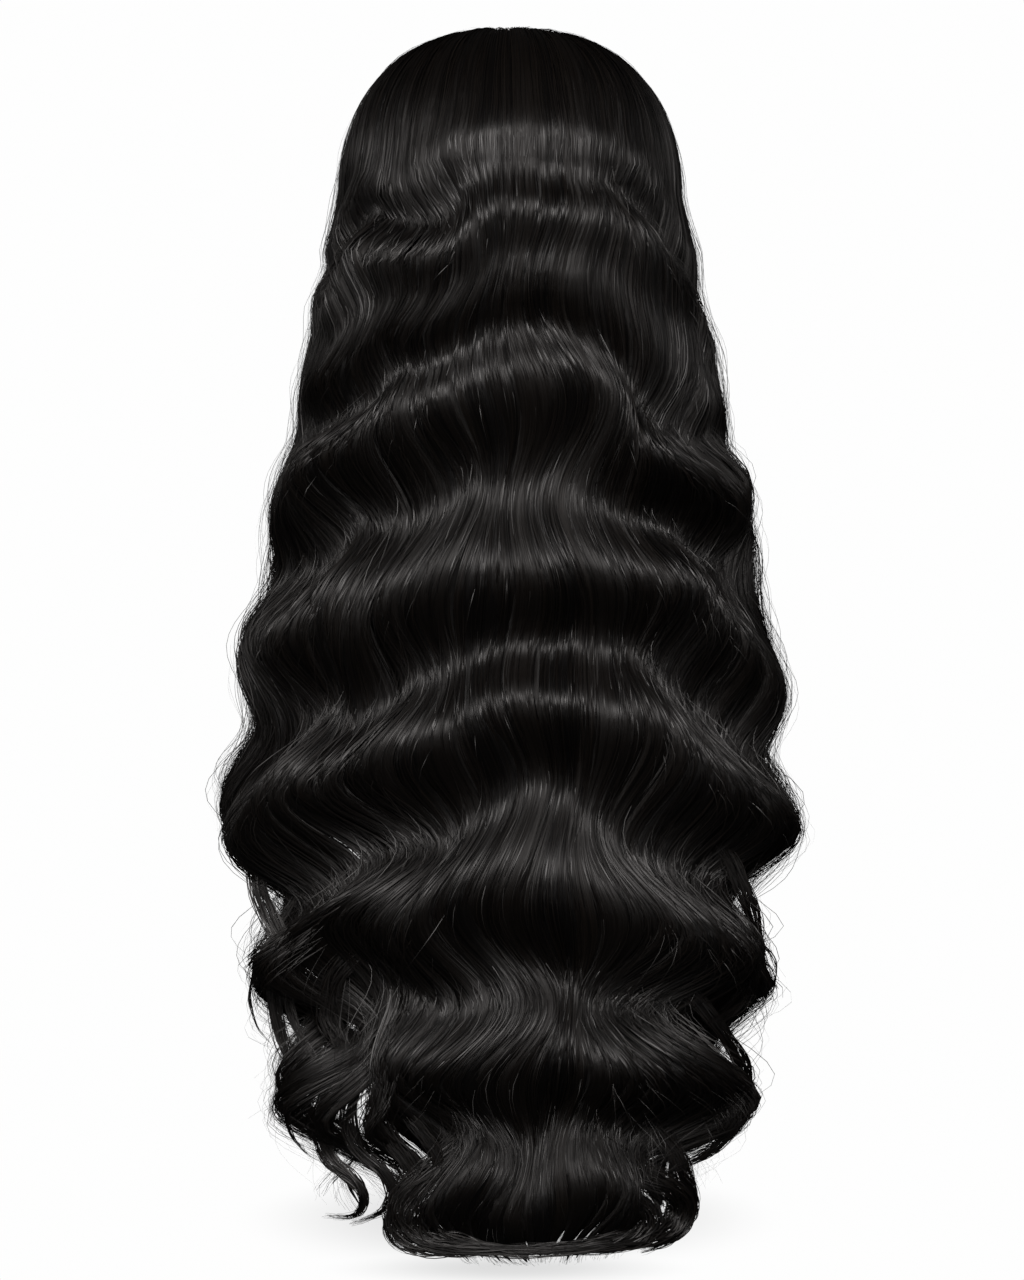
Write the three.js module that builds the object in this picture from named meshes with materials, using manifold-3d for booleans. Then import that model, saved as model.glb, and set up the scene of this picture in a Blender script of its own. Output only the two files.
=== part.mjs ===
// A long body-wave lace closure wig. A stretch cap carries a lace panel at its front, and hair
// in five sewn sections falls from them to below the waist.
// Millimetres, +Z up. The origin is the top of the cap's inside, where the crown of the head
// sits. The face looks along -Y, so the wearer's left is +X.
import * as THREE from "three";
import Module from "manifold-3d";

const { lerp, smoothstep, degToRad } = THREE.MathUtils;

// Cap: a half ellipsoid over the head's widest level and a slower curve below it.
const headHalfWidth = 80;
const headHalfLength = 99;
const crownRise = 95; // inside of the crown above the widest level
const napeCurve = 150; // vertical radius of the cap below the widest level
const capWall = 1.6;
const widestZ = -crownRise;

// The cap's lower edge, by angle from the nape round to the forehead.
const capRim = [
  { angle: 0, z: -168 }, // nape
  { angle: 45, z: -158 },
  { angle: 78, z: -120 }, // over the ear
  { angle: 96, z: -116 },
  { angle: 114, z: -136 }, // tab in front of the ear
  { angle: 132, z: -92 }, // temple
  { angle: 152, z: -60 },
  { angle: 180, z: -50 }, // middle of the forehead
];

// Lace closure: a four inch panel that ends at the cap's middle.
const closureWidth = 102;
const laceWall = 1.0;
const seamGap = 0.6;

// Hair over the head: an outer dome, with a parting to the left of the middle.
const domeHalfWidth = 114;
const domeHalfLength = 118;
const topHair = 18; // hair above the inside of the crown
const domeSquareness = 2.2; // 2 is an ellipsoid
const hairLift = 1.3; // hair's underside above the cap
const partingX = 22;
const partingHalfGap = 1.5;
const partingLoft = 0.5; // share of the full thickness at the parting
const seamLoft = 0.9; // and at the closure's back seam
const edgeLoft = 0.5; // and at the front edges, by the face
const edgeThinFrom = 0.78; // share of the way round where that thinning starts
const rootRise = 0.3; // share of the way over the head in which the hair gains its full thickness
const hairlineAngle = 56; // forward of the crown, at the front end of the parting

// Falling hair, level by level: half its width, its depth behind a centre, how far its edges
// reach round from the back, and its thickness at the sides and at the back.
const underside = capWall + hairLift;
const fallLevels = [
  {
    z: widestZ,
    halfWidth: domeHalfWidth,
    depth: domeHalfLength,
    centreY: 0,
    edgeAngle: 122,
    sideThick: domeHalfWidth - headHalfWidth - underside,
    backThick: domeHalfLength - headHalfLength - underside,
  },
  { z: -133, halfWidth: 123, depth: 112, centreY: 4, edgeAngle: 118, sideThick: 27, backThick: 17 },
  { z: -212, halfWidth: 134, depth: 96, centreY: 12, edgeAngle: 113, sideThick: 25, backThick: 22 },
  { z: -300, halfWidth: 152, depth: 82, centreY: 22, edgeAngle: 108, sideThick: 24, backThick: 25 },
  { z: -390, halfWidth: 171, depth: 70, centreY: 34, edgeAngle: 104, sideThick: 24, backThick: 27 },
  { z: -490, halfWidth: 178, depth: 64, centreY: 42, edgeAngle: 102, sideThick: 23, backThick: 28 },
  { z: -590, halfWidth: 167, depth: 60, centreY: 44, edgeAngle: 102, sideThick: 22, backThick: 26 },
  { z: -690, halfWidth: 150, depth: 54, centreY: 46, edgeAngle: 102, sideThick: 18, backThick: 22 },
  { z: -795, halfWidth: 108, depth: 44, centreY: 48, edgeAngle: 102, sideThick: 12, backThick: 14 },
];

// Body wave. Each row is the crest of one fold, with its height at the middle of the back and at
// the two front edges, and how far its hair stands out there.
const waveCrests = [
  { middleZ: -12, leftZ: -62, rightZ: -64, size: 0 },
  { middleZ: -117, leftZ: -180, rightZ: -186, size: 9 },
  { middleZ: -221, leftZ: -288, rightZ: -305, size: 12 },
  { middleZ: -335, leftZ: -397, rightZ: -414, size: 13 },
  { middleZ: -438, leftZ: -496, rightZ: -506, size: 14 },
  { middleZ: -552, leftZ: -602, rightZ: -605, size: 15 },
  { middleZ: -659, leftZ: -694, rightZ: -689, size: 16 },
  { middleZ: -762, leftZ: -774, rightZ: -768, size: 16 },
  { middleZ: -866, leftZ: -852, rightZ: -848, size: 16 },
];
const crestArch = 1.9; // how sharply a crest drops from the middle to the edges
const crestPastEar = 0.6; // share of that drop again, from the ears round to the face
const swayAngle = 55; // how far a fold turns from outward to sideways near the edges
const swayMiddleX = -28;
const swayBuildUp = 75; // distance from the middle over which folds turn sideways
const underWave = { startZ: -130, fullZ: -230 }; // where the underside starts to wave, below the cap

// Locks: ridges above, free tails below.
const lockRelief = 6;
const headRelief = 0.3; // share of that relief over the head
const tipPower = 3; // how late the tips rise towards the front edges
const lowestTipZ = -792;
const edgeTipRise = 85; // how much shorter the front edges are than the middle
const tailStart = 0.92; // share of the fall where the tails part at the back
const edgeTailStart = 0.78; // and at the front edges
const tailStagger = 0.03;
const tailTaper = 1.25;
const tailTipWidth = 0.32;
const tailSideLean = 2;
const tailOutLean = 6;
const tipStagger = 0.014; // share of the fall by which tips end higher or lower
const scatterTurn = 46; // radians over the whole width, so that neighbouring locks differ

const domeRows = 7;
const fallRows = 44;
const lastRow = domeRows + fallRows;

// Hair sections, as shares of the way round from the back to a front edge. The closure's hair
// meets the wefts over the ears.
const earShare = 90 / fallLevels[0].edgeAngle;
const backShare = 0.3;
const hairSections = [
  { name: "closure_hair_right", from: -1, to: -earShare, locks: 3, parted: true },
  { name: "side_wefts_right", from: -earShare, to: -backShare, locks: 4, parted: false },
  { name: "back_wefts", from: -backShare, to: backShare, locks: 6, parted: false },
  { name: "side_wefts_left", from: backShare, to: earShare, locks: 4, parted: false },
  { name: "closure_hair_left", from: earShare, to: 1, locks: 3, parted: true },
];

const hairMaterial = new THREE.MeshStandardMaterial({ color: 0x14110f, roughness: 0.38, metalness: 0 });
const capMaterial = new THREE.MeshStandardMaterial({ color: 0x1b1918, roughness: 0.85, metalness: 0 });
const laceMaterial = new THREE.MeshStandardMaterial({ color: 0xa87e5c, roughness: 0.8, metalness: 0 });

const wasm = await Module();
wasm.setup();

// A table's columns at any value of its key column, on a smooth curve through the rows.
function readTable(rows, key, at) {
  const rising = rows[rows.length - 1][key] > rows[0][key];
  let i = 0;
  while (i < rows.length - 2 && (rising ? at > rows[i + 1][key] : at < rows[i + 1][key])) i++;
  const row = (n) => rows[Math.max(0, Math.min(rows.length - 1, n))];
  const t = THREE.MathUtils.clamp((at - row(i)[key]) / (row(i + 1)[key] - row(i)[key]), 0, 1);
  const found = {};
  for (const column of Object.keys(rows[0])) {
    const [a, b, c, d] = [row(i - 1), row(i), row(i + 1), row(i + 2)].map((r) => r[column]);
    const slopeIn = (c - a) / 2;
    const slopeOut = (d - b) / 2;
    const cubic = 2 * b - 2 * c + slopeIn + slopeOut;
    const square = 3 * c - 3 * b - 2 * slopeIn - slopeOut;
    found[column] = ((cubic * t + square) * t + slopeIn) * t + b;
  }
  return found;
}

// Triangles over shared points.
class FacetBuilder {
  points = [];
  facets = [];

  add(point) {
    return this.points.push(point) - 1;
  }

  quad(a, b, c, d) {
    this.facets.push(a, b, c, a, c, d);
  }

  geometry() {
    const positions = new Float32Array(this.points.flatMap((p) => p.toArray()));
    return new THREE.BufferGeometry()
      .setAttribute("position", new THREE.BufferAttribute(positions, 3))
      .setIndex(this.facets);
  }
}

function solidOf(geometry) {
  const vertProperties = new Float32Array(geometry.getAttribute("position").array);
  const triVerts = new Uint32Array(geometry.index.array);
  return new wasm.Manifold(new wasm.Mesh({ numProp: 3, vertProperties, triVerts }));
}

function geometryOf(solid) {
  const mesh = solid.getMesh();
  return new THREE.BufferGeometry()
    .setAttribute("position", new THREE.BufferAttribute(mesh.vertProperties, 3))
    .setIndex(new THREE.BufferAttribute(mesh.triVerts, 1));
}

function named(name, geometry, material) {
  const mesh = new THREE.Mesh(geometry, material);
  mesh.name = name;
  return mesh;
}

// Cap and lace panel

function capPoint(angle, share, offset) {
  const fromBack = Math.abs(THREE.MathUtils.euclideanModulo(angle + 180, 360) - 180);
  const rimZ = readTable(capRim, "angle", fromBack).z;
  const rimRise = rimZ > widestZ ? crownRise : napeCurve;
  const tilt = share * Math.acos((rimZ - widestZ) / rimRise);
  const rise = tilt < Math.PI / 2 ? crownRise + offset : napeCurve;
  const turn = degToRad(angle);
  return new THREE.Vector3(
    (headHalfWidth + offset) * Math.sin(tilt) * Math.sin(turn),
    (headHalfLength + offset) * Math.sin(tilt) * Math.cos(turn),
    widestZ + rise * Math.cos(tilt),
  );
}

// A dome wall from the head's surface out to the given thickness, open at its rim.
function domeWall(thickness) {
  const sides = 36;
  const rings = 8;
  const builder = new FacetBuilder();
  const layers = [thickness, 0].map((offset) => {
    const crown = builder.add(capPoint(0, 0, offset));
    const grid = [];
    for (let ring = 1; ring <= rings; ring++) {
      const row = [];
      for (let side = 0; side < sides; side++) {
        row.push(builder.add(capPoint((360 * side) / sides, ring / rings, offset)));
      }
      grid.push(row);
    }
    return { crown, grid };
  });
  const [outer, inner] = layers;
  for (let side = 0; side < sides; side++) {
    const next = (side + 1) % sides;
    builder.facets.push(outer.crown, outer.grid[0][next], outer.grid[0][side]);
    builder.facets.push(inner.crown, inner.grid[0][side], inner.grid[0][next]);
    for (let ring = 0; ring < rings - 1; ring++) {
      const [up, down] = [outer.grid[ring], outer.grid[ring + 1]];
      builder.quad(up[side], up[next], down[next], down[side]);
      const [innerUp, innerDown] = [inner.grid[ring], inner.grid[ring + 1]];
      builder.quad(innerUp[side], innerDown[side], innerDown[next], innerUp[next]);
    }
    const [rim, innerRim] = [outer.grid[rings - 1], inner.grid[rings - 1]];
    builder.quad(rim[side], rim[next], innerRim[next], innerRim[side]);
  }
  return solidOf(builder.geometry());
}

// The block of space that the lace panel takes out of the dome.
function closureBlock(clearance) {
  const reach = headHalfLength * 2;
  const width = closureWidth + 2 * clearance;
  const block = new THREE.BoxGeometry(width, reach, reach);
  block.translate(0, clearance - reach / 2, reach / 2 + widestZ);
  block.deleteAttribute("normal");
  block.deleteAttribute("uv");
  return solidOf(mergeCorners(block));
}

// A box's corners, shared between its sides.
function mergeCorners(geometry) {
  const seen = new Map();
  const builder = new FacetBuilder();
  const position = geometry.getAttribute("position");
  const shared = [];
  for (let i = 0; i < position.count; i++) {
    const point = new THREE.Vector3().fromBufferAttribute(position, i);
    const key = point.toArray().join();
    if (!seen.has(key)) seen.set(key, builder.add(point));
    shared.push(seen.get(key));
  }
  builder.facets = Array.from(geometry.index.array, (i) => shared[i]);
  return builder.geometry();
}

// Hair

// Where a strand leaves the parting or the closure's back seam, as a direction from the dome's
// middle.
function rootDirection(parted, across) {
  if (parted) {
    const share = (Math.abs(across) - earShare) / (1 - earShare);
    const lean = degToRad(hairlineAngle) * share;
    const x = (partingX + Math.sign(across) * partingHalfGap) / domeHalfWidth;
    return new THREE.Vector3(x, -Math.sin(lean), Math.cos(lean)).normalize();
  }
  const x = ((across / earShare) * closureWidth) / 2 / domeHalfWidth;
  return new THREE.Vector3(x, seamGap / domeHalfLength, Math.sqrt(1 - x * x)).normalize();
}

// A strand's way over the head, as a direction: the shortest arc from its root to the widest
// level.
function domeDirection(parted, across, share) {
  const root = rootDirection(parted, across);
  const turn = degToRad(across * fallLevels[0].edgeAngle);
  const end = new THREE.Vector3(Math.sin(turn), Math.cos(turn), 0);
  const between = root.angleTo(end);
  return root
    .multiplyScalar(Math.sin((1 - share) * between) / Math.sin(between))
    .addScaledVector(end, Math.sin(share * between) / Math.sin(between));
}

// Over the head: depth 0 is the hair's outside and 1 its underside on the cap.
function domePoint(parted, across, share, depth) {
  const direction = domeDirection(parted, across, share);
  const level = Math.hypot(direction.x, direction.y);
  const reach = (level ** domeSquareness + direction.z ** domeSquareness) ** (-1 / domeSquareness);
  const outerSize = new THREE.Vector3(domeHalfWidth, domeHalfLength, crownRise + topHair);
  const underSize = new THREE.Vector3(headHalfWidth, headHalfLength, crownRise).addScalar(underside);
  const outer = direction.clone().multiply(outerSize).multiplyScalar(reach);
  const under = direction.clone().multiply(underSize);
  const rootLoft = lerp(parted ? partingLoft : seamLoft, 1, smoothstep(share, 0, rootRise));
  const point = under.lerp(outer, rootLoft * edgeThinning(across) * (1 - depth));
  point.z += widestZ;
  return point;
}

function edgeThinning(across) {
  return lerp(1, edgeLoft, smoothstep(Math.abs(across), edgeThinFrom, 1));
}

function tipZ(across) {
  return lowestTipZ + edgeTipRise * Math.abs(across) ** tipPower;
}

// Below the head: share runs from the widest level to the tip.
function fallPoint(across, share, depth) {
  const z = lerp(widestZ, tipZ(across), share);
  const level = readTable(fallLevels, "z", z);
  const turn = degToRad(across * level.edgeAngle);
  const inset = 1 - edgeThinning(across) * (1 - depth);
  return new THREE.Vector3(
    (level.halfWidth - inset * level.sideThick) * Math.sin(turn),
    level.centreY + (level.depth - inset * level.backThick) * Math.cos(turn),
    z,
  );
}

// Along is -1 at the root, 0 at the widest level and 1 at the tip.
function restPoint(parted, across, along, depth) {
  if (along < 0) return domePoint(parted, across, 1 + along, depth);
  return fallPoint(across, along, depth);
}

// Directions at a place on the hair: sideways and outwards.
function hairFrame(parted, across, along, depth) {
  const step = 0.01;
  const above = restPoint(parted, across, Math.max(-1, along - step), depth);
  const below = restPoint(parted, across, along + step, depth);
  const down = below.sub(above).normalize();
  if (along < 0) {
    const outward = restPoint(parted, across, along, depth);
    outward.z -= widestZ;
    outward.divide(new THREE.Vector3(domeHalfWidth ** 2, domeHalfLength ** 2, (crownRise + topHair) ** 2));
    const sideways = down.clone().cross(outward).normalize();
    return { sideways, outward: sideways.clone().cross(down) };
  }
  const before = restPoint(parted, across - step, along, depth);
  const after = restPoint(parted, across + step, along, depth);
  const sideways = after.sub(before).normalize();
  return { sideways, outward: sideways.clone().cross(down).normalize() };
}

// How far the wave carries a place on the hair outwards and sideways.
function waveAt(across, point, depth) {
  const edgeAngle = readTable(fallLevels, "z", Math.min(point.z, widestZ)).edgeAngle;
  const turn = Math.abs(across) * edgeAngle;
  const round = Math.sin(degToRad(Math.min(turn, 90))) ** crestArch;
  const share = round + (crestPastEar * Math.max(0, turn - 90)) / 90;
  const crestZ = (crest) => lerp(crest.middleZ, across > 0 ? crest.leftZ : crest.rightZ, share);
  let fold = 0;
  while (fold < waveCrests.length - 2 && point.z < crestZ(waveCrests[fold + 1])) fold++;
  const [above, below] = [waveCrests[fold], waveCrests[fold + 1]];
  const between = Math.max(0, (crestZ(above) - point.z) / (crestZ(above) - crestZ(below)));
  const under = smoothstep(-point.z, -underWave.startZ, -underWave.fullZ);
  const size = lerp(above.size, below.size, between) * lerp(1, under, depth);
  const swing = size * Math.cos(2 * Math.PI * between);
  const lean = degToRad(swayAngle) * Math.tanh((point.x - swayMiddleX) / swayBuildUp);
  return { swell: swing * Math.cos(lean), sway: swing * Math.sin(lean) };
}

function hairPoint(parted, across, along, depth, groove) {
  const point = restPoint(parted, across, along, depth);
  const frame = hairFrame(parted, across, along, depth);
  const wave = waveAt(across, point, depth);
  const relief = lockRelief * lerp(headRelief, 1, smoothstep(along, -0.5, 0.5));
  point.addScaledVector(frame.outward, wave.swell - relief * groove * (1 - depth));
  return point.addScaledVector(frame.sideways, wave.sway);
}

function lockMiddle(section, lock) {
  return lerp(section.from, section.to, (lock + 0.5) / section.locks);
}

// The share of the fall at which a lock's tail comes free.
function tailShare(section, lock) {
  const middle = lockMiddle(section, lock);
  const stagger = tailStagger * Math.sin(scatterTurn * middle);
  return lerp(tailStart, edgeTailStart, Math.abs(middle)) + stagger;
}

// Each lock has a ridge between two grooves, and its free tail narrows towards its own middle.
function lockPoint(section, lock, column, row, depth) {
  const along = row <= domeRows ? row / domeRows - 1 : (row - domeRows) / fallRows;
  const across = lerp(section.from, section.to, (lock + column / 2) / section.locks);
  const start = tailShare(section, lock);
  const free = Math.max(0, (along - start) / (1 - start));
  const middle = lockMiddle(section, lock);
  const turn = scatterTurn * middle;
  const reach = along + tipStagger * Math.cos(2 * turn) * free ** 2;
  const point = hairPoint(section.parted, across, reach, depth, column === 1 ? 0 : 1);
  const seam = hairFrame(section.parted, across, reach, depth).sideways;
  if (across === section.from) point.addScaledVector(seam, seamGap / 2);
  if (across === section.to) point.addScaledVector(seam, -seamGap / 2);
  const core = hairPoint(section.parted, middle, reach, 0.5, 0);
  const frame = hairFrame(section.parted, middle, reach, 0.5);
  point.lerp(core, (1 - tailTipWidth) * free ** tailTaper);
  point.addScaledVector(frame.sideways, tailSideLean * Math.sin(turn) * free ** 2);
  return point.addScaledVector(frame.outward, tailOutLean * Math.cos(turn) * free ** 2);
}

// The row below which a lock and the next hang apart.
function partingRow(section, lock) {
  const share = Math.min(tailShare(section, lock), tailShare(section, lock + 1));
  return domeRows + Math.floor(share * fallRows);
}

// One closed body: the section's locks side by side, sharing their grooves until the tails part.
function hairSection(section) {
  const builder = new FacetBuilder();
  const placed = new Map();
  const corner = (lock, column, row, depth) => {
    const joinsLeft = column === 0 && lock > 0 && row <= partingRow(section, lock - 1);
    if (joinsLeft) return corner(lock - 1, 2, row, depth);
    const key = [lock, column, row, depth].join();
    if (!placed.has(key)) placed.set(key, builder.add(lockPoint(section, lock, column, row, depth)));
    return placed.get(key);
  };
  for (let lock = 0; lock < section.locks; lock++) {
    for (let row = 0; row < lastRow; row++) {
      const at = (column, down, depth) => corner(lock, column, row + down, depth);
      for (const column of [0, 1]) {
        builder.quad(at(column, 0, 0), at(column + 1, 0, 0), at(column + 1, 1, 0), at(column, 1, 0));
        builder.quad(at(column, 0, 1), at(column, 1, 1), at(column + 1, 1, 1), at(column + 1, 0, 1));
      }
      if (lock === 0 || row >= partingRow(section, lock - 1)) {
        builder.quad(at(0, 0, 0), at(0, 1, 0), at(0, 1, 1), at(0, 0, 1));
      }
      if (lock === section.locks - 1 || row >= partingRow(section, lock)) {
        builder.quad(at(2, 0, 0), at(2, 0, 1), at(2, 1, 1), at(2, 1, 0));
      }
    }
    for (const column of [0, 1]) {
      const end = (side, row, depth) => corner(lock, column + side, row, depth);
      builder.quad(end(0, 0, 0), end(0, 0, 1), end(1, 0, 1), end(1, 0, 0));
      builder.quad(end(0, lastRow, 0), end(1, lastRow, 0), end(1, lastRow, 1), end(0, lastRow, 1));
    }
  }
  return builder.geometry();
}

const wig = new THREE.Group();
wig.name = "lace_closure_wig";
wig.add(named("wig_cap", geometryOf(domeWall(capWall).subtract(closureBlock(seamGap))), capMaterial));
wig.add(named("lace_closure", geometryOf(domeWall(laceWall).intersect(closureBlock(0))), laceMaterial));
for (const section of hairSections) {
  wig.add(named(section.name, hairSection(section), hairMaterial));
}

export default wig;
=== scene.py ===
# Lace closure wig: the cap and the lace keep their built shape, the hair becomes locks and strands.
import math

import bpy
import numpy as np
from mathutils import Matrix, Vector


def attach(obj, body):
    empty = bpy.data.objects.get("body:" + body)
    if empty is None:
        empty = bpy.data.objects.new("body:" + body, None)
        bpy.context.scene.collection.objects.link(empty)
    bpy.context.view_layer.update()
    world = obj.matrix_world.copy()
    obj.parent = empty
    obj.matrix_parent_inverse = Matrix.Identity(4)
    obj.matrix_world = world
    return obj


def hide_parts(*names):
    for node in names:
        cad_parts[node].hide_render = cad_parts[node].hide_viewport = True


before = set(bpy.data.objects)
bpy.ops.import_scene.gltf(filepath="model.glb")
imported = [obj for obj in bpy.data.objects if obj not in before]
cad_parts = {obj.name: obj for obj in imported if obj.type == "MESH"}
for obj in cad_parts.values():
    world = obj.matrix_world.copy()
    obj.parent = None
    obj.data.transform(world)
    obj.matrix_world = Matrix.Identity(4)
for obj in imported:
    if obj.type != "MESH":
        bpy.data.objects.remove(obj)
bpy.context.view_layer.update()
mm = 0.001
print("frame loaded:", sorted(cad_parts))


# small helpers

def linearColour(hexColour):
    parts = [int(hexColour[i:i + 2], 16) / 255 for i in (1, 3, 5)]
    parts = [c / 12.92 if c <= 0.04045 else ((c + 0.055) / 1.055) ** 2.4 for c in parts]
    return (*parts, 1.0)


def addNode(tree, kind, settings=None, **links):
    # settings go to the node's own properties or its inputs, links join other sockets to its inputs
    node = tree.nodes.new(kind)
    for name, value in (settings or {}).items():
        if hasattr(node, name):
            setattr(node, name, value)
        else:
            node.inputs[name].default_value = value
    for name, socket in links.items():
        target = node.inputs[int(name[1:])] if name[0] == "i" and name[1:].isdigit() else node.inputs[name]
        tree.links.new(socket, target)
    return node


def newMaterial(name):
    material = bpy.data.materials.new(name)
    material.use_nodes = True
    tree = material.node_tree
    tree.nodes.clear()
    shader = addNode(tree, "ShaderNodeBsdfPrincipled")
    addNode(tree, "ShaderNodeOutputMaterial", None, Surface=shader.outputs[0])
    return material, tree, shader


def mix(a, b, t):
    return a + (b - a) * t


def ramp(x, start, end):
    t = np.clip((x - start) / (end - start), 0, 1)
    return t * t * (3 - 2 * t)


def unit(v):
    return v / np.maximum(np.linalg.norm(v, axis=-1, keepdims=True), 1e-9)


# the way the hair runs, in mm: over the head as a dome, then down level by level

headShape = {
    "halfWidth": 80, "halfLength": 99, "rise": 95, "widestZ": -95, "underHair": 2.9,
    "domeHalfWidth": 114, "domeHalfLength": 118, "domeRise": 113, "squareness": 2.25, "backRound": 0.25,
    "partingX": 22, "partingHalfGap": 1.5, "hairlineAngle": 56, "seamHalfWidth": 51, "seamY": -4,
    # how full the hair stands at the parting, at the crown's seam and at the front edges
    "partingLoft": 0.5, "seamLoft": 0.9, "loftShare": 0.3, "edgeLoft": 0.5, "edgeThinFrom": 0.78,
}
hairFall = {  # the outer shape of the hanging hair and its thickness, level by level
    "z": [-95, -133, -212, -300, -390, -490, -590, -690, -795],
    "halfWidth": [114, 123, 134, 152, 171, 178, 167, 150, 108],
    "depth": [118, 112, 96, 82, 70, 64, 60, 54, 44],
    "centreY": [0, 4, 12, 22, 34, 42, 44, 46, 48],
    "edgeAngle": [122, 118, 113, 108, 104, 102, 102, 102, 102],
    "sideThick": [31.1, 27, 25, 24, 24, 23, 22, 18, 12],
    "backThick": [16.1, 17, 22, 25, 27, 28, 26, 22, 14],
}
bodyWave = {
    # crest heights at the middle of the back and at the two front edges, the size of each crest, and
    # how much of the full wave the trough below it has
    "middleZ": [-40, -117, -164, -224, -335, -438, -552, -656, -748, -850],
    "leftZ": [-105, -170, -214, -288, -395, -496, -602, -694, -774, -852],
    "rightZ": [-100, -186, -230, -304, -412, -506, -605, -689, -768, -848],
    "size": [9, 10.5, 8, 12.5, 13, 12.5, 12.5, 12.5, 10, 8],
    "dip": [1, 0.2, 0.6, 1, 1, 1, 1, 1, 1],
    "middleX": -25, "archRound": 80, "pastEar": 0.6,   # how the crests arch from the middle to the edges
    "startShare": 0.12, "fullShare": 0.78,   # the stretch of the first fold over which it builds up
    # the crown stands out a little, from just above the first crest until this fades lower down
    "crownLift": 5.2, "crownStart": -8, "crownFull": 28, "crownFade": (80, 240),
    "swellBack": 0.6,          # the folds at the sides stand out to the back as well
    "underHair": (130, 230),   # the hair next to the head only waves from here down
    # sideways swing as a share of the size, how many degrees it runs behind the outward one, where it
    # builds up from the middle, and the heights between which it goes over to its low values
    "sway": 1.2, "swayLow": 1.6, "swayLag": 50, "swayStart": 20, "swayFull": 120, "swayFullLow": 85,
    "swayHeights": (430, 640),
    # what is left of the swings near the two front edges, reached between these degrees round the hair
    "edge": (50, 90), "edgeCalm": 0.2, "edgeLoose": 1.2, "looseHeights": (420, 600), "edgeSway": 0.55,
    "edgeTuck": 22, "tuckHeights": (500, 640),   # the edges draw in near the tips
    # uneven swings: their lengths in mm round the hair and down it, where each starts and its size
    "uneven": [(300, 410, 0.3, 3.5), (160, 260, 4.0, 5.5), (75, -330, 2.1, 3.4), (48, 520, 5.0, 1.6)],
    "sideUneven": [(66, -210, 0.8, 4.0), (43, 260, 3.3, 2.2)],
    "drift": [(130, 190, 1.1, 5.0), (85, -150, 3.0, 3.6), (210, 120, 5.2, 4.5)],
    "swell": [(230, 310, 4.4, 0.08), (140, -210, 2.9, 0.06)],
    "lowUneven": [(62, -240, 1.3, 7.5), (95, 330, 3.9, 8.0)],
    "lowDrift": [(70, 95, 2.0, 4.5), (120, -110, 0.5, 6.0)],
    # mm from the middle of the back round to a front edge, and where the swings set in
    "halfRound": 170, "unevenHeights": (20, 120), "lowHeights": (480, 680), "sideReach": (30, 95),
}
tips = {
    "lowestZ": -792, "edgeRise": 85, "power": 3, "floorZ": -798, "floorSoft": 5,
    "sweepFrom": 725, "sweep": 42, "sweepSoft": 120, "sweepX": -15, "curlUnder": 10,
}
earShare = 90 / hairFall["edgeAngle"][0]


def readLevels(table, key, columns, at):
    # a smooth curve through the rows of a table
    keys = np.array(table[key], float)
    i = np.clip(np.searchsorted(-keys, -at, side="left") - 1, 0, len(keys) - 2)
    t = np.clip((at - keys[i]) / (keys[i + 1] - keys[i]), 0, 1)
    found = []
    for column in columns:
        values = np.array(table[column], float)
        a, b, c, d = (values[np.clip(i + n, 0, len(keys) - 1)] for n in (-1, 0, 1, 2))
        slopeIn, slopeOut = (c - a) / 2, (d - b) / 2
        cubic = 2 * b - 2 * c + slopeIn + slopeOut
        square = 3 * c - 3 * b - 2 * slopeIn - slopeOut
        found.append(((cubic * t + square) * t + slopeIn) * t + b)
    return found


def edgeThinning(across):
    return mix(1, headShape["edgeLoft"], ramp(np.abs(across), headShape["edgeThinFrom"], 1))


def domePoint(parted, across, share, depth):
    # over the head, from the parting or from the seam across the crown
    h = headShape
    if parted:
        lean = np.radians(h["hairlineAngle"]) * (np.abs(across) - earShare) / (1 - earShare)
        x = (h["partingX"] + np.sign(across) * h["partingHalfGap"]) / h["domeHalfWidth"]
        root = np.stack([x, -np.sin(lean), np.cos(lean)], -1)
    else:
        x = across / earShare * h["seamHalfWidth"] / h["domeHalfWidth"]
        root = np.stack([x, np.full_like(x, h["seamY"] / h["domeHalfLength"]), np.sqrt(1 - x * x)], -1)
    root = unit(root)
    turn = np.radians(across * hairFall["edgeAngle"][0])
    end = np.stack([np.sin(turn), np.cos(turn), np.zeros_like(turn)], -1)
    between = np.arccos(np.clip((root * end).sum(-1), -1, 1))
    way = root * (np.sin((1 - share) * between) / np.sin(between))[..., None]
    way = way + end * (np.sin(share * between) / np.sin(between))[..., None]
    level = np.hypot(way[..., 0], way[..., 1])
    s = h["squareness"] - h["backRound"] * (way[..., 1] / np.maximum(level, 1e-6)) ** 2
    reach = (level ** s + np.abs(way[..., 2]) ** s) ** (-1 / s)
    outer = way * np.array([h["domeHalfWidth"], h["domeHalfLength"], h["domeRise"]]) * reach[..., None]
    under = way * (np.array([h["halfWidth"], h["halfLength"], h["rise"]]) + h["underHair"])
    loft = mix(h["partingLoft"] if parted else h["seamLoft"], 1, ramp(share, 0, h["loftShare"]))
    point = mix(under, outer, (loft * edgeThinning(across) * (1 - depth))[..., None])
    point[..., 2] += h["widestZ"]
    return point


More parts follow.
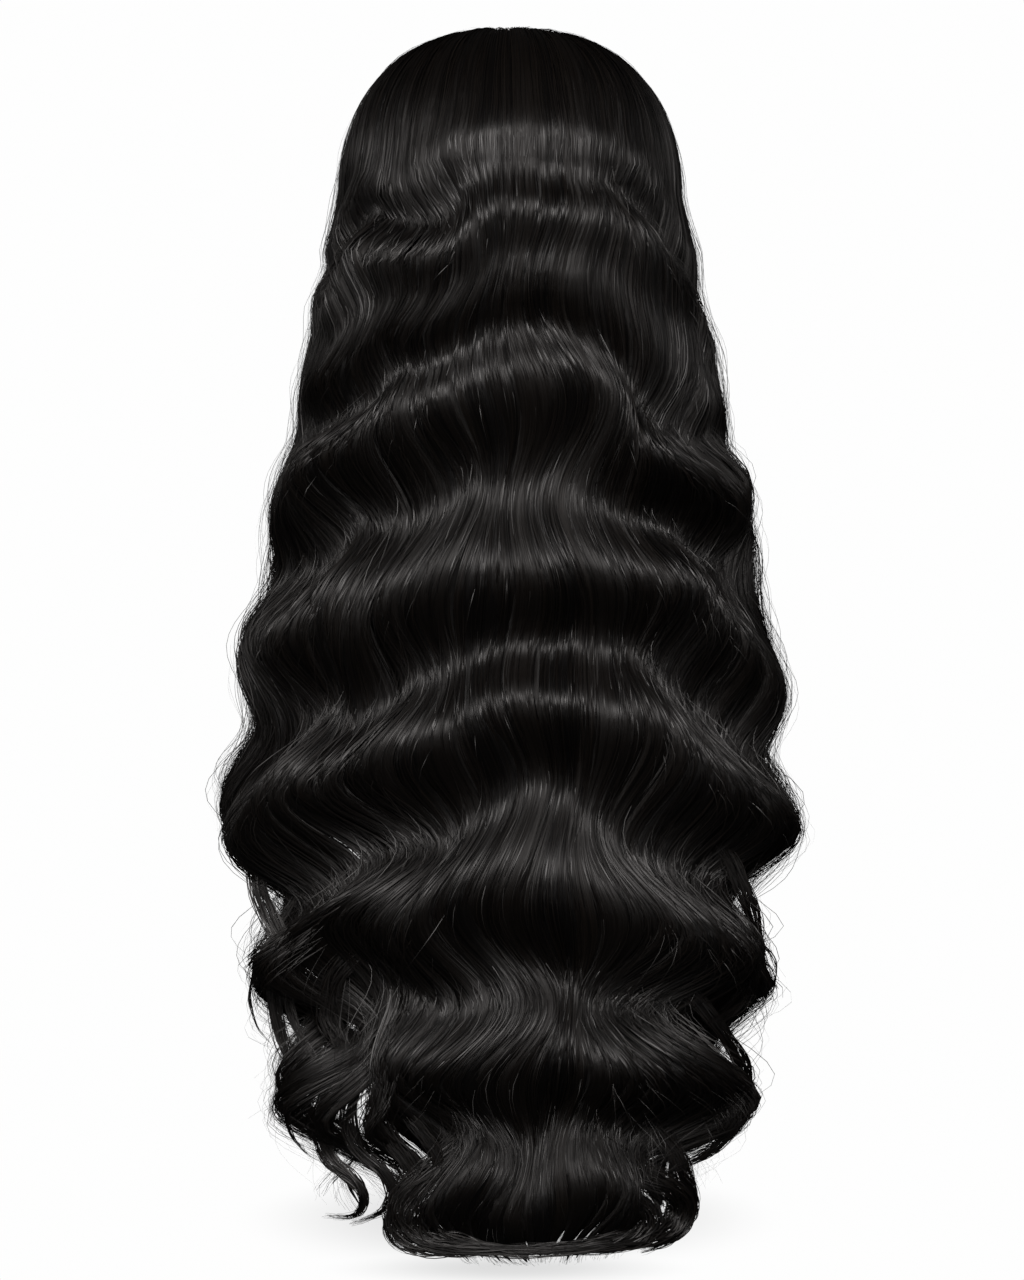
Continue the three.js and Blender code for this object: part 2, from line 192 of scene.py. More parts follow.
def fallPoint(across, share, depth):
    # below the widest level of the head, where the hair hangs
    tipZ = tips["lowestZ"] + tips["edgeRise"] * np.abs(across) ** tips["power"]
    z = mix(headShape["widestZ"], tipZ, share)
    columns = ("halfWidth", "depth", "centreY", "edgeAngle", "sideThick", "backThick")
    halfWidth, back, centreY, edgeAngle, sideThick, backThick = readLevels(hairFall, "z", columns, z)
    turn = np.radians(across * edgeAngle)
    inset = 1 - edgeThinning(across) * (1 - depth)
    x = (halfWidth - inset * sideThick) * np.sin(turn)
    y = centreY + (back - inset * backThick) * np.cos(turn)
    return np.stack([x, y, z], -1)


def restPoint(parted, across, along, depth):
    # along is -1 at the root, 0 at the widest level of the head and 1 at the tip
    dome = domePoint(parted, across, np.clip(1 + along, 0, 1), depth)
    fall = fallPoint(across, np.maximum(along, 0), depth)
    return np.where((along < 0)[..., None], dome, fall)


def swings(kind, across, z):
    # how far the folds run higher, the hair drifts sideways or the waves swell, from place to place
    w = bodyWave
    total = np.zeros_like(z)
    for around, down, turn, size in w[kind]:
        total = total + size * np.sin(2 * np.pi * (across * w["halfRound"] / around + z / down) + turn)
    return total * ramp(-z, *w["lowHeights" if kind.startswith("low") else "unevenHeights"])


def hairFlow(parted, across, along, depth, shift, gain):
    # a place on the waved hair with its sideways and outward directions
    step = 0.01
    h = headShape
    point = restPoint(parted, across, along, depth)
    below = restPoint(parted, across, along + step, depth)
    down = unit(below - restPoint(parted, across, np.maximum(along - step, -1), depth))
    size = np.array([h["domeHalfWidth"], h["domeHalfLength"], h["domeRise"]])
    outward = (point - np.array([0, 0, h["widestZ"]])) / size ** 2
    onHead = unit(np.cross(down, outward))
    after = restPoint(parted, across + step, along, depth)
    onFall = unit((after - restPoint(parted, across - step, along, depth)) * np.array([1, 1, 0]))
    sideways = np.where((along < 0)[..., None], onHead, onFall)
    outward = unit(np.cross(sideways, down))

    # where the place lies among the folds
    w = bodyWave
    x, height = point[..., 0], point[..., 2]
    fromMiddle = x - w["middleX"]
    away = ramp(np.abs(fromMiddle), *w["sideReach"])
    raised = swings("uneven", across, height) + swings("lowUneven", across, height)
    z = height + shift + raised + away * swings("sideUneven", across, height)
    level = np.minimum(z, h["widestZ"])
    halfWidth, edgeAngle = readLevels(hairFall, "z", ("halfWidth", "edgeAngle"), level)
    turn = np.abs(across) * edgeAngle
    edge = np.maximum(halfWidth - np.sign(fromMiddle) * w["middleX"], 1)
    near = np.hypot(fromMiddle, w["archRound"]) - w["archRound"]
    far = np.hypot(edge, w["archRound"]) - w["archRound"]
    share = near / far + w["pastEar"] * np.maximum(0, turn - 90) / 90
    onLeft = (across > 0)[..., None]
    edgeZ = np.where(onLeft, np.array(w["leftZ"], float), np.array(w["rightZ"], float))
    crestZ = mix(np.array(w["middleZ"], float), edgeZ, share[..., None])
    fold = (z[..., None] < crestZ[..., 1:-1]).sum(-1)
    above = np.take_along_axis(crestZ, fold[..., None], -1)[..., 0]
    beneath = np.take_along_axis(crestZ, fold[..., None] + 1, -1)[..., 0]
    between = np.maximum(0, (above - z) / (above - beneath))

    # the wave there, and its outward and sideways beat
    sizes = np.array(w["size"], float)
    size = mix(sizes[fold], sizes[fold + 1], between) * gain * (1 + swings("swell", across, height))
    size = size * mix(1, ramp(-z, *w["underHair"]), depth)
    size = np.where(fold == 0, size * ramp(between, w["startShare"], w["fullShare"]), size)
    dip = np.array(w["dip"], float)[fold]
    beat = 1 - dip * (1 - np.cos(2 * np.pi * between))
    lag = np.radians(w["swayLag"])
    lateBeat = np.cos(lag) * beat + np.sin(lag) * dip * np.sin(2 * np.pi * between)

    # how far it moves the hair
    low = ramp(-z, *w["swayHeights"])
    fullAt = mix(w["swayFull"], w["swayFullLow"], low)
    reach = np.sign(fromMiddle) * ramp(np.abs(fromMiddle), w["swayStart"], fullAt)
    nearEdge = ramp(turn, *w["edge"])
    edgeSwing = mix(w["edgeCalm"], w["edgeLoose"], ramp(-z, *w["looseHeights"]))
    out = size * beat * mix(1, edgeSwing, nearEdge)
    crown = ramp(crestZ[..., 0] - z, w["crownStart"], w["crownFull"]) * (1 - ramp(-z, *w["crownFade"]))
    out = out + w["crownLift"] * crown * (1 - nearEdge) * (1 - depth)
    out = out - w["edgeTuck"] * ramp(-z, *w["tuckHeights"]) * nearEdge
    sway = size * mix(w["sway"], w["swayLow"], low) * lateBeat * reach
    sway = sway * mix(1, np.minimum(edgeSwing, w["edgeSway"]), nearEdge)
    drift = swings("drift", across, height) + swings("lowDrift", across, height)
    backward = np.sin(np.radians(turn)) * (along > 0)
    swell = unit(outward + np.stack([0 * x, w["swellBack"] * backward, 0 * x], -1))
    point = point + swell * out[..., None] + sideways * drift[..., None]
    point[..., 0] += sway
    return sweepTips(point), sideways, outward


def sweepTips(point, sweep=1):
    # the ends turn towards the middle and under, and none goes through the floor
    t = tips
    low = sweep * ramp(-point[..., 2], t["sweepFrom"], -t["floorZ"]) ** 2
    x = point[..., 0] - np.tanh((point[..., 0] - t["sweepX"]) / t["sweepSoft"]) * t["sweep"] * low
    z = t["floorZ"] + t["floorSoft"] * np.logaddexp(0, (point[..., 2] - t["floorZ"]) / t["floorSoft"])
    return np.stack([x, point[..., 1] - t["curlUnder"] * low, z], -1)


# hair sections: where each lies round the hair, and how many locks and strands it gets

hairSections = {
    "closure_hair_right": {
        "start": -1.0, "end": -earShare, "parted": True, "locks": 14, "clumps": 4, "strands": 640},
    "side_wefts_right": {
        "start": -earShare, "end": -0.3, "parted": False, "locks": 22, "clumps": 6, "strands": 880},
    "back_wefts": {
        "start": -0.3, "end": 0.3, "parted": False, "locks": 28, "clumps": 8, "strands": 825},
    "side_wefts_left": {
        "start": 0.3, "end": earShare, "parted": False, "locks": 22, "clumps": 6, "strands": 840},
    "closure_hair_left": {
        "start": earShare, "end": 1.0, "parted": True, "locks": 14, "clumps": 4, "strands": 640},
}
lockShape = {
    "domeRows": 12, "fallRows": 72, "sides": 8,
    "overlap": 1.5, "widths": (0.8, 1.25),   # a lock is this much wider than its share of the section
    "scatter": 0.25, "overhang": 0.02, "ridges": 0.08,
    "outerDepth": (0.18, 0.36), "innerDepth": (0.5, 0.78),   # of the hair's thickness
    "halfDepth": 0.2, "halfDepths": (0.8, 1.1),
    # where the locks come loose, from the middle of the back, 0, to the front edge, 1
    "leftLoose": (0.15, 0.45), "rightLoose": (0.38, 0.65), "rightShare": 0.55,
    # mm by which a lock's waves run ahead or behind, and how much larger or smaller they are
    "phase": 2.2, "sidePhase": 6.0, "phases": 0.5, "sidePhases": 0.8, "mostPhase": 1.4,
    "phaseReach": (-0.1, 0.5), "gain": 0.12,
    "pull": 0.72, "pulls": (0.8, 1.05), "pullReach": (0.66, 0.86),   # how locks draw together in clumps
    "gather": 0.95, "sideGather": 0.42, "gathers": (0.8, 1.15), "gatherReach": (0.35, 0.95),
    # mm of free curl near the tips at the sides, and its length as a share of the fall
    "curl": 5.0, "curls": (0.4, 1.2), "curlReach": (0.45, 0.8), "curlFlat": 0.7, "curlLength": 0.155,
    "clumpTurn": 0.8,
    "tip": (0.99, 1.018), "leftShortest": 0.84, "rightShortest": 0.95, "sideLongest": 1.03,
    "ending": 0.05, "sideEnding": 0.24, "leastEnd": 0.06,   # the stretch over which a lock ends
    "rootLead": 0.02, "rootEnding": 0.05, "leastRoot": 0.2, "mapMargin": 0.01,
}


def rowGrid(shape):
    # -1 at the root, 0 at the widest level of the head and 1 at the tip
    overHead = np.linspace(-1, 0, shape["domeRows"] + 1)[:-1]
    return np.concatenate([overHead, np.linspace(0, 1, shape["fallRows"])])


def withinSection(section, across):
    # a little past the section's own ends at most, and never past the front edges
    past = lockShape["overhang"]
    return np.clip(np.clip(across, section["start"] - past, section["end"] + past), -1, 1)


def layLocks(section, rng):
    # one row of numbers for each lock
    s = lockShape
    count = section["locks"]
    spacing = (section["end"] - section["start"]) / count
    outer = np.arange(count) % 2 == 0
    scatter = rng.uniform(-s["scatter"], s["scatter"], count)
    middle = section["start"] + spacing * (np.arange(count) + 0.5 + scatter)
    looseRight = s["rightShare"] * ramp(-middle, *s["rightLoose"])
    side = np.where(middle > 0, ramp(middle, *s["leftLoose"]), looseRight)
    group = np.arange(count) * section["clumps"] // count
    clump = np.array([middle[group == g].mean() for g in range(section["clumps"])])
    ahead = rng.normal(0, s["phases"], count)
    ahead = mix(ahead, rng.normal(0, s["sidePhases"], section["clumps"])[group], side)
    turn = rng.uniform(0, 2 * np.pi, section["clumps"])[group] + rng.uniform(0, s["clumpTurn"], count)
    shortest = np.where(middle > 0, s["leftShortest"], s["rightShortest"])
    most = s["mostPhase"]
    return {
        "middle": middle,
        "clump": clump[group],
        "pull": s["pull"] * side * rng.uniform(*s["pulls"], count),
        "half": spacing * s["overlap"] * rng.uniform(*s["widths"], count),
        "depth": np.where(
            outer, rng.uniform(*s["outerDepth"], count), rng.uniform(*s["innerDepth"], count)),
        "halfDepth": s["halfDepth"] * rng.uniform(*s["halfDepths"], count),
        "phase": mix(s["phase"], s["sidePhase"], side) * ahead.clip(-most, most),
        "gain": 1 + s["gain"] * rng.uniform(-1, 1, count),
        "tip": mix(rng.uniform(*s["tip"], count), rng.uniform(shortest, s["sideLongest"]), side),
        "curl": s["curl"] * side * rng.uniform(*s["curls"], count),
        "turn": turn,
        "gather": mix(s["gather"], s["sideGather"], side) * rng.uniform(*s["gathers"], count),
        "ending": mix(s["ending"], s["sideEnding"], side),
    }


def middleAt(along, lock):
    # neighbouring locks draw together in clumps towards their tips
    return mix(lock["middle"], lock["clump"], lock["pull"] * ramp(along, *lockShape["pullReach"]))


def spreadAt(along, gather):
    # a lock is full over the head and gathers towards its tip
    return mix(1, gather, ramp(along, *lockShape["gatherReach"]))


def curlAt(along, lock):
    size = lock["curl"] * ramp(along, *lockShape["curlReach"])
    turn = 2 * np.pi * along / lockShape["curlLength"] + lock["turn"]
    return size * np.sin(turn), lockShape["curlFlat"] * size * np.cos(turn)


def meshFromArrays(name, points, quads, ends, uv, tone):
    # quads and end caps over shared points, with a map that runs across and along the hair
    mesh = bpy.data.meshes.new(name)
    loops = np.concatenate([quads.ravel()] + [e.ravel() for e in ends]).astype(np.int32)
    totals = np.concatenate([np.full(len(quads), 4)] + [np.full(len(e), e.shape[1]) for e in ends])
    mesh.vertices.add(len(points))
    mesh.vertices.foreach_set("co", (points * mm).astype(np.float32).ravel())
    mesh.loops.add(len(loops))
    mesh.loops.foreach_set("vertex_index", loops)
    mesh.polygons.add(len(totals))
    starts = np.concatenate([[0], np.cumsum(totals)[:-1]]).astype(np.int32)
    mesh.polygons.foreach_set("loop_start", starts)
    layer = mesh.uv_layers.new(name="OFBake")
    layer.uv.foreach_set("vector", uv.astype(np.float32).ravel())
    attribute = mesh.attributes.new("tone", "FLOAT", "POINT")
    attribute.data.foreach_set("value", tone.astype(np.float32))
    mesh.update(calc_edges=True)
    mesh.validate()
    return mesh


def buildLocks(name, section, locks, rng):
    # each lock is a closed, flattened tube that follows the flow
    s = lockShape
    grid = rowGrid(s)
    rows, sides, count = len(grid), s["sides"], len(locks["middle"])
    lock = {key: value[:, None] for key, value in locks.items()}
    along = np.where(grid[None] > 0, grid[None] * lock["tip"], grid[None])
    fromRoot = np.clip((grid + 1 + s["rootLead"]) / s["rootEnding"], s["leastRoot"], 1)
    ending = np.sqrt(np.clip((1 - grid) / lock["ending"], 0, 1)) * fromRoot
    spread = spreadAt(along, lock["gather"]) * np.maximum(ending, s["leastEnd"])
    around = np.linspace(0, 2 * np.pi, sides, endpoint=False)
    ridge = 1 + s["ridges"] * rng.uniform(-1, 1, (count, 1, sides))
    half = (lock["half"] * spread)[..., None]
    across = withinSection(section, middleAt(along, lock)[..., None] + half * np.cos(around) * ridge)
    halfDepth = (lock["halfDepth"] * np.sqrt(spread))[..., None]
    deep = np.clip(lock["depth"][..., None] + halfDepth * np.sin(around) * ridge, 0, 1)
    shift = (lock["phase"] * ramp(along, *s["phaseReach"]))[..., None]
    ones = np.ones(across.shape)
    gain = lock["gain"][..., None]
    point, sideways, outward = hairFlow(
        section["parted"], across, along[..., None] * ones, deep, shift * ones, gain * ones)
    curlSide, curlOut = curlAt(along, lock)
    point = point + sideways.mean(2, keepdims=True) * curlSide[..., None, None]
    point = point + outward.mean(2, keepdims=True) * curlOut[..., None, None]

    index = np.arange(count * rows * sides).reshape(count, rows, sides)
    here, there = index[:, :-1], index[:, 1:]
    turned = np.roll(here, -1, 2), np.roll(there, -1, 2)
    quads = np.stack([here, there, turned[1], turned[0]], -1).reshape(-1, 4)
    ends = [index[:, 0], index[:, -1, ::-1]]
    u = mix(s["mapMargin"], 1 - s["mapMargin"], np.arange(sides + 1) / sides)
    u = (u[None, None] + np.arange(count)[:, None, None]) / count
    u = np.broadcast_to(u, (count, rows, sides + 1))
    v = np.broadcast_to((grid[None, :, None] + 1) / 2, u.shape)
    uv = np.stack([u, v], -1)
    corners = [uv[:, :-1, :-1], uv[:, 1:, :-1], uv[:, 1:, 1:], uv[:, :-1, 1:]]
    quadUv = np.stack(corners, 3).reshape(-1, 2)
    endUv = [uv[:, 0, :-1].reshape(-1, 2), uv[:, -1, :-1][:, ::-1].reshape(-1, 2)]
    tone = np.broadcast_to(rng.uniform(0, 1, (count, 1, 1)), index.shape).ravel()
    mesh = meshFromArrays(name, point.reshape(-1, 3), quads, ends, np.concatenate([quadUv] + endUv), tone)
    return bpy.data.objects.new(name, mesh)


# strands: paths laid over the locks, swept into ribbons by a node tree

strandShape = {
    "domeRows": 14, "fallRows": 86, "width": 0.65, "widths": (0.7, 1.35), "ends": (0.96, 1.015),
    "tipWidth": 0.2, "tipEnding": 0.1, "rootWidth": 0.6, "rootEnding": 0.03, "columnShare": 0.9,
    "above": (0.85, 1.6), "bulge": 0.9, "inside": 0.18,   # on or just above the lock, or inside it
    "wander": 1.3, "rootWander": 0.35, "tipWander": 1.6, "wanderReach": (-0.6, 1.0),
    "wanderTurns": (1.5, 4.0), "roll": 0.35, "rollSwing": 0.3,
    "stray": 0.24, "strayPull": (-0.2, 0.7),   # share that leaves its clump, and the pull it keeps
    # mm by which the waves of a tuft or a strand run ahead or behind, and more so near the tips
    "tufts": 5, "tuftPhase": 1.6, "phase": 1.7, "tipPhase": 2.2, "tipReach": (0.6, 0.9),
    "phaseReach": (-0.5, 0.2),
    # flyaways, with more of them near the front edges, and their fine crimp
    "flyaway": 0.2, "edgeFlyaway": 0.6, "edge": (0.62, 0.85), "flyWander": (1.2, 5), "flyPhase": 4,
    "flyGain": (0.5, 1.25), "flyWidth": 0.5, "leastLift": 0.3, "flyLift": 3.5, "edgeFlyLift": 6,
    "rootLift": 0.2, "liftReach": (-0.4, 0.3),
    "frizz": 2.2, "backFrizz": 0.4, "frizzes": (0.3, 1.4), "frizzTurns": (7, 13),
    "frizzReach": (-0.02, 0.12),
}


def ribbonTree():
    tree = bpy.data.node_groups.new("strandRibbons", "GeometryNodeTree")
    sockets = tree.interface
    sockets.new_socket("Strand Paths", in_out="INPUT", socket_type="NodeSocketGeometry")
    width = sockets.new_socket("Strand Width", in_out="INPUT", socket_type="NodeSocketFloat")
    hair = sockets.new_socket("Hair Material", in_out="INPUT", socket_type="NodeSocketMaterial")
    sockets.new_socket("Ribbons", in_out="OUTPUT", socket_type="NodeSocketGeometry")
    given = addNode(tree, "NodeGroupInput")
    curves = addNode(tree, "GeometryNodeMeshToCurve", None, Mesh=given.outputs[0])
    way = addNode(tree, "GeometryNodeInputNamedAttribute",
                  {"data_type": "FLOAT_VECTOR", "Name": "acrossWay"})
    aimed = addNode(tree, "GeometryNodeSetCurveNormal", {"mode": "FREE"},
                    Curve=curves.outputs[0], Normal=way.outputs[0])
    taper, edge, column, columnWidth, along = (
        addNode(tree, "GeometryNodeInputNamedAttribute", {"data_type": "FLOAT", "Name": name})
        for name in ("taper", "edge", "column", "columnWidth", "run"))
    wide = addNode(tree, "ShaderNodeMath", {"operation": "MULTIPLY"},
                   i0=taper.outputs[0], i1=given.outputs["Strand Width"])
    profile = addNode(tree, "GeometryNodeCurvePrimitiveLine", {"Start": (-0.5, 0, 0), "End": (0.5, 0, 0)})
    factor = addNode(tree, "GeometryNodeSplineParameter")
    marked = addNode(tree, "GeometryNodeStoreNamedAttribute",
                     {"data_type": "FLOAT", "domain": "POINT", "Name": "edge"},
                     Geometry=profile.outputs[0], Value=factor.outputs["Factor"])
    swept = addNode(tree, "GeometryNodeCurveToMesh", None, Curve=aimed.outputs[0], i1=marked.outputs[0])
    tree.links.new(wide.outputs[0], swept.inputs["Scale"])
    u = addNode(tree, "ShaderNodeMath", {"operation": "MULTIPLY_ADD"},
                i0=edge.outputs[0], i1=columnWidth.outputs[0], i2=column.outputs[0])
    uv = addNode(tree, "ShaderNodeCombineXYZ", None, X=u.outputs[0], Y=along.outputs[0])
    mapped = addNode(tree, "GeometryNodeStoreNamedAttribute",
                     {"data_type": "FLOAT2", "domain": "CORNER", "Name": "OFBake"},
                     Geometry=swept.outputs[0], Value=uv.outputs[0])
    smooth = addNode(tree, "GeometryNodeSetShadeSmooth", {"Shade Smooth": True}, Geometry=mapped.outputs[0])
    real = addNode(tree, "GeometryNodeRealizeInstances", None, Geometry=smooth.outputs[0])
    painted = addNode(tree, "GeometryNodeSetMaterial", None,
                      Geometry=real.outputs[0], Material=given.outputs["Hair Material"])
    addNode(tree, "NodeGroupOutput", None, Ribbons=painted.outputs[0])
    return tree, width.identifier, hair.identifier


def followLocks(section, locks, rng):
    # paths that run over the locks from root to tip
    s = strandShape
    count = section["strands"]
    each = (count, 1)
    grid = rowGrid(s)
    pick = rng.permutation(np.arange(count) % len(locks["middle"]))
    lock = {key: value[pick][:, None] for key, value in locks.items()}
    stray = rng.uniform(0, 1, each) < s["stray"]
    lock["pull"] = lock["pull"] * np.where(stray, rng.uniform(*s["strayPull"], each), 1)
    u = rng.uniform(-1, 1, each)
    v = -np.sqrt(1 - s["bulge"] * u * u) * rng.uniform(*s["above"], each)
    v = np.where(rng.uniform(0, 1, each) < s["inside"], -v, v)
    tip = lock["tip"] * rng.uniform(*s["ends"], each)
    along = np.where(grid[None] > 0, grid[None] * tip, grid[None])
    spread = spreadAt(along, lock["gather"])
    atEdge = ramp(np.abs(lock["middle"]), *s["edge"])
    fly = rng.uniform(0, 1, each) < mix(s["flyaway"], s["edgeFlyaway"], atEdge)
    run = np.broadcast_to((grid[None] + 1) / 2, along.shape)
    loose = s["wander"] * mix(s["rootWander"], s["tipWander"], ramp(along, *s["wanderReach"]))
    loose = loose * np.where(fly, rng.uniform(*s["flyWander"], each), 1)

    across = withinSection(section, middleAt(along, lock) + lock["half"] * u * spread)
    depth = np.clip(lock["depth"] + lock["halfDepth"] * v * np.sqrt(spread), 0, 1)
    tuft = rng.normal(0, s["tuftPhase"], (len(locks["middle"]), s["tufts"]))
    which = np.clip(((u + 1) / 2 * s["tufts"]).astype(int), 0, s["tufts"] - 1)
    ahead = tuft[pick[:, None], which] + rng.normal(0, s["phase"], each) * np.where(fly, s["flyPhase"], 1)
    ahead = lock["phase"] + ahead * mix(1, s["tipPhase"], ramp(along, *s["tipReach"]))
    shift = ahead * ramp(along, *s["phaseReach"])
    gain = lock["gain"] * np.where(fly, rng.uniform(*s["flyGain"], each), 1) * np.ones_like(along)
    point, sideways, outward = hairFlow(section["parted"], across, along, depth, shift, gain)

    curlSide, curlOut = curlAt(along, lock)
    swerve, lift = wanderAlong(run, loose, rng)
    raised = s["leastLift"] + mix(s["flyLift"], s["edgeFlyLift"], atEdge) * rng.uniform(0, 1, each) ** 2
    lift = lift + np.where(fly, raised, 0) * mix(s["rootLift"], 1, ramp(along, *s["liftReach"]))
    taper = rng.uniform(*s["widths"], each) * np.where(fly, s["flyWidth"], 1)
    taper = taper * mix(s["tipWidth"], 1, ramp(1 - run, 0, s["tipEnding"]))
    taper = taper * mix(s["rootWidth"], 1, ramp(run, 0, s["rootEnding"]))
    crimp = s["frizz"] * mix(s["backFrizz"], 1, atEdge) * fly * rng.uniform(*s["frizzes"], each)
    crimp = crimp * ramp(along, *s["frizzReach"])
    turn = 2 * np.pi * along * rng.uniform(*s["frizzTurns"], each) + rng.uniform(0, 2 * np.pi, each)
    point = point + sideways * (curlSide + swerve + crimp * np.sin(turn))[..., None]
    point = point + outward * (curlOut + lift + crimp * np.cos(turn))[..., None]
    return {"point": point, "outward": outward, "taper": taper, "run": run}


def wanderAlong(run, loose, rng):
    # slow swings that keep neighbouring strands from running quite alike
    turns = rng.uniform(0, 2 * np.pi, (3, len(run), 1))
    rate = rng.uniform(*strandShape["wanderTurns"], (3, len(run), 1))
    first, second, third = (np.sin(2 * np.pi * rate[i] * run + turns[i]) for i in range(3))
    return loose * (first + 0.5 * second), 0.5 * loose * third


freeShape = {
    "rows": 36, "ends": (0.8, 1.0), "widths": (0.7, 1.3), "tipWidth": 0.2, "tipEnding": 0.25,
    "rootInset": 20, "insetReach": 0.35,   # the root lies this deep in the hair
    "flat": 0.6, "tipSize": 0.3, "gatherFrom": 0.55, "wander": 0.3, "wanderShare": 0.07,
}
# pixels of the photograph: how many mm one is, and where the wig's middle and top lie
photo = {"pixel": 0.66, "middle": 510, "top": 24, "topZ": 16}
freeLocks = {  # curls near the tips that hang clear of the rest, and the ends that hook along the floor
    "side_wefts_left": [
        {"width": 13, "inset": 4, "strands": 60, "path": [
            (300, 800), (262, 840), (258, 880), (272, 915), (283, 945), (276, 985), (281, 1025),
            (294, 1057), (318, 1070), (345, 1072)]},
        {"width": 2, "inset": 0, "strands": 7, "path": [
            (300, 890), (279, 930), (258, 966), (251, 994), (258, 1024), (277, 1046)]},
        {"width": 9, "inset": 3, "strands": 44, "path": [
            (395, 870), (350, 905), (315, 935), (296, 965), (292, 1000), (306, 1035), (322, 1055)]},
        {"width": 15, "inset": 9, "strands": 66, "path": [
            (420, 880), (372, 930), (338, 972), (330, 1008), (346, 1042), (372, 1076), (384, 1104)]},
        {"width": 4, "inset": 0, "strands": 16, "path": [
            (440, 965), (382, 1017), (361, 1048), (330, 1073), (302, 1088), (289, 1105), (290, 1126),
            (302, 1144), (325, 1157)]},
        {"width": 11, "inset": 4, "strands": 56, "path": [
            (430, 970), (390, 1020), (348, 1068), (327, 1100), (322, 1130), (332, 1154), (353, 1170),
            (365, 1187), (362, 1203), (348, 1211), (322, 1214)]},
        {"width": 10, "inset": 6, "strands": 50, "path": [
            (450, 980), (400, 1030), (366, 1070), (352, 1098), (352, 1124), (366, 1146), (385, 1164),
            (394, 1182), (388, 1199), (372, 1210), (350, 1218)]},
        {"width": 12, "inset": 6, "strands": 56, "path": [
            (470, 990), (420, 1036), (390, 1078), (386, 1106), (396, 1132), (411, 1152), (419, 1172),
            (410, 1192), (394, 1206), (389, 1224), (402, 1240), (430, 1246)]},
        {"width": 10, "inset": 8, "strands": 44, "path": [
            (470, 1010), (430, 1050), (406, 1082), (408, 1104), (424, 1124), (438, 1148), (434, 1172),
            (418, 1194), (408, 1216)]},
    ],
    "back_wefts": [
        {"width": 20, "inset": 2, "strands": 125, "path": [
            (490, 1110), (450, 1150), (412, 1182), (402, 1208), (415, 1228), (450, 1236), (500, 1239),
            (570, 1240)]},
        {"width": 18, "inset": 4, "strands": 95, "path": [
            (510, 1130), (470, 1170), (434, 1198), (428, 1218), (446, 1232), (480, 1238), (530, 1240),
            (590, 1240)]},
        {"width": 20, "inset": 2, "strands": 125, "path": [
            (580, 1130), (636, 1162), (672, 1184), (680, 1204), (668, 1222), (638, 1232), (590, 1237),
            (510, 1239)]},
        {"width": 18, "inset": 4, "strands": 95, "path": [
            (560, 1140), (608, 1178), (640, 1200), (644, 1218), (624, 1230), (585, 1237), (535, 1240),
            (480, 1240)]},
    ],
    "side_wefts_right": [
        {"width": 12, "inset": 3, "strands": 56, "path": [
            (690, 810), (722, 850), (740, 885), (750, 915), (754, 942), (756, 968), (748, 992),
            (727, 1010), (700, 1020)]},
        {"width": 2, "inset": 0, "strands": 7, "path": [
            (715, 890), (751, 935), (769, 951), (775, 971), (769, 992), (752, 1006)]},
        {"width": 12, "inset": 3, "strands": 56, "path": [
            (660, 970), (700, 1000), (735, 1052), (744, 1086), (738, 1118), (714, 1143), (684, 1157),
            (660, 1168)]},
        {"width": 12, "inset": 3, "strands": 80, "path": [
            (640, 1110), (672, 1145), (688, 1192), (684, 1214), (668, 1233), (638, 1245)]},
    ],
}


def smoothPath(corners, rows):
    # a smooth curve through a few corners
    corners = np.array(corners, float)
    at = np.linspace(0, len(corners) - 1, rows)
    i = np.clip(at.astype(int), 0, len(corners) - 2)
    t = (at - i)[:, None]
    a, b, c, d = (corners[np.clip(i + n, 0, len(corners) - 1)] for n in (-1, 0, 1, 2))
    return b + 0.5 * t * (c - a + t * (2 * a - 5 * b + 4 * c - d + t * (3 * (b - c) + d - a)))


def freeLock(lock, rng):
    # strands bundled round a path that was set out on the photograph
    s = freeShape
    rows, each = s["rows"], (lock["strands"], 1)
    xz = [(-(px - photo["middle"]) * photo["pixel"], photo["topZ"] - (py - photo["top"]) * photo["pixel"])
          for px, py in lock["path"]]
    path = smoothPath(xz, rows)
    halfWidth, depth, centreY = readLevels(hairFall, "z", ("halfWidth", "depth", "centreY"), path[:, 1])
    y = centreY + depth * np.sqrt(np.clip(1 - (path[:, 0] / halfWidth) ** 2, 0, 1))
    y = y - mix(s["rootInset"], lock["inset"], ramp(np.linspace(0, 1, rows), 0, s["insetReach"]))
    middle = np.stack([path[:, 0], y, path[:, 1]], -1)
    ends = rng.uniform(*s["ends"], each) * (rows - 1)
    at = np.linspace(0, 1, rows)[None] * ends
    low = np.clip(at.astype(int), 0, rows - 2)
    point = mix(middle[low], middle[low + 1], (at - low)[..., None])
    run = np.broadcast_to(np.linspace(0, 1, rows)[None], at.shape)
    down = unit(np.gradient(point, axis=1))
    back = np.broadcast_to(np.array([0.0, 1.0, 0.0]), down.shape)
    side = unit(np.cross(down, back))
    angle = rng.uniform(0, 2 * np.pi, each)
    radius = np.sqrt(rng.uniform(0, 1, each))
    size = lock["width"] / 2 * mix(1, s["tipSize"], ramp(run, s["gatherFrom"], 1))
    swerve, lift = wanderAlong(run, s["wanderShare"] * lock["width"] + s["wander"], rng)
    point = point + side * (size * radius * np.cos(angle) + swerve)[..., None]
    point = point + back * (s["flat"] * size * radius * np.sin(angle) + lift)[..., None]
    taper = rng.uniform(*s["widths"], each) * mix(s["tipWidth"], 1, ramp(1 - run, 0, s["tipEnding"]))
    return {"point": sweepTips(point, 0), "outward": back, "taper": taper, "run": run}


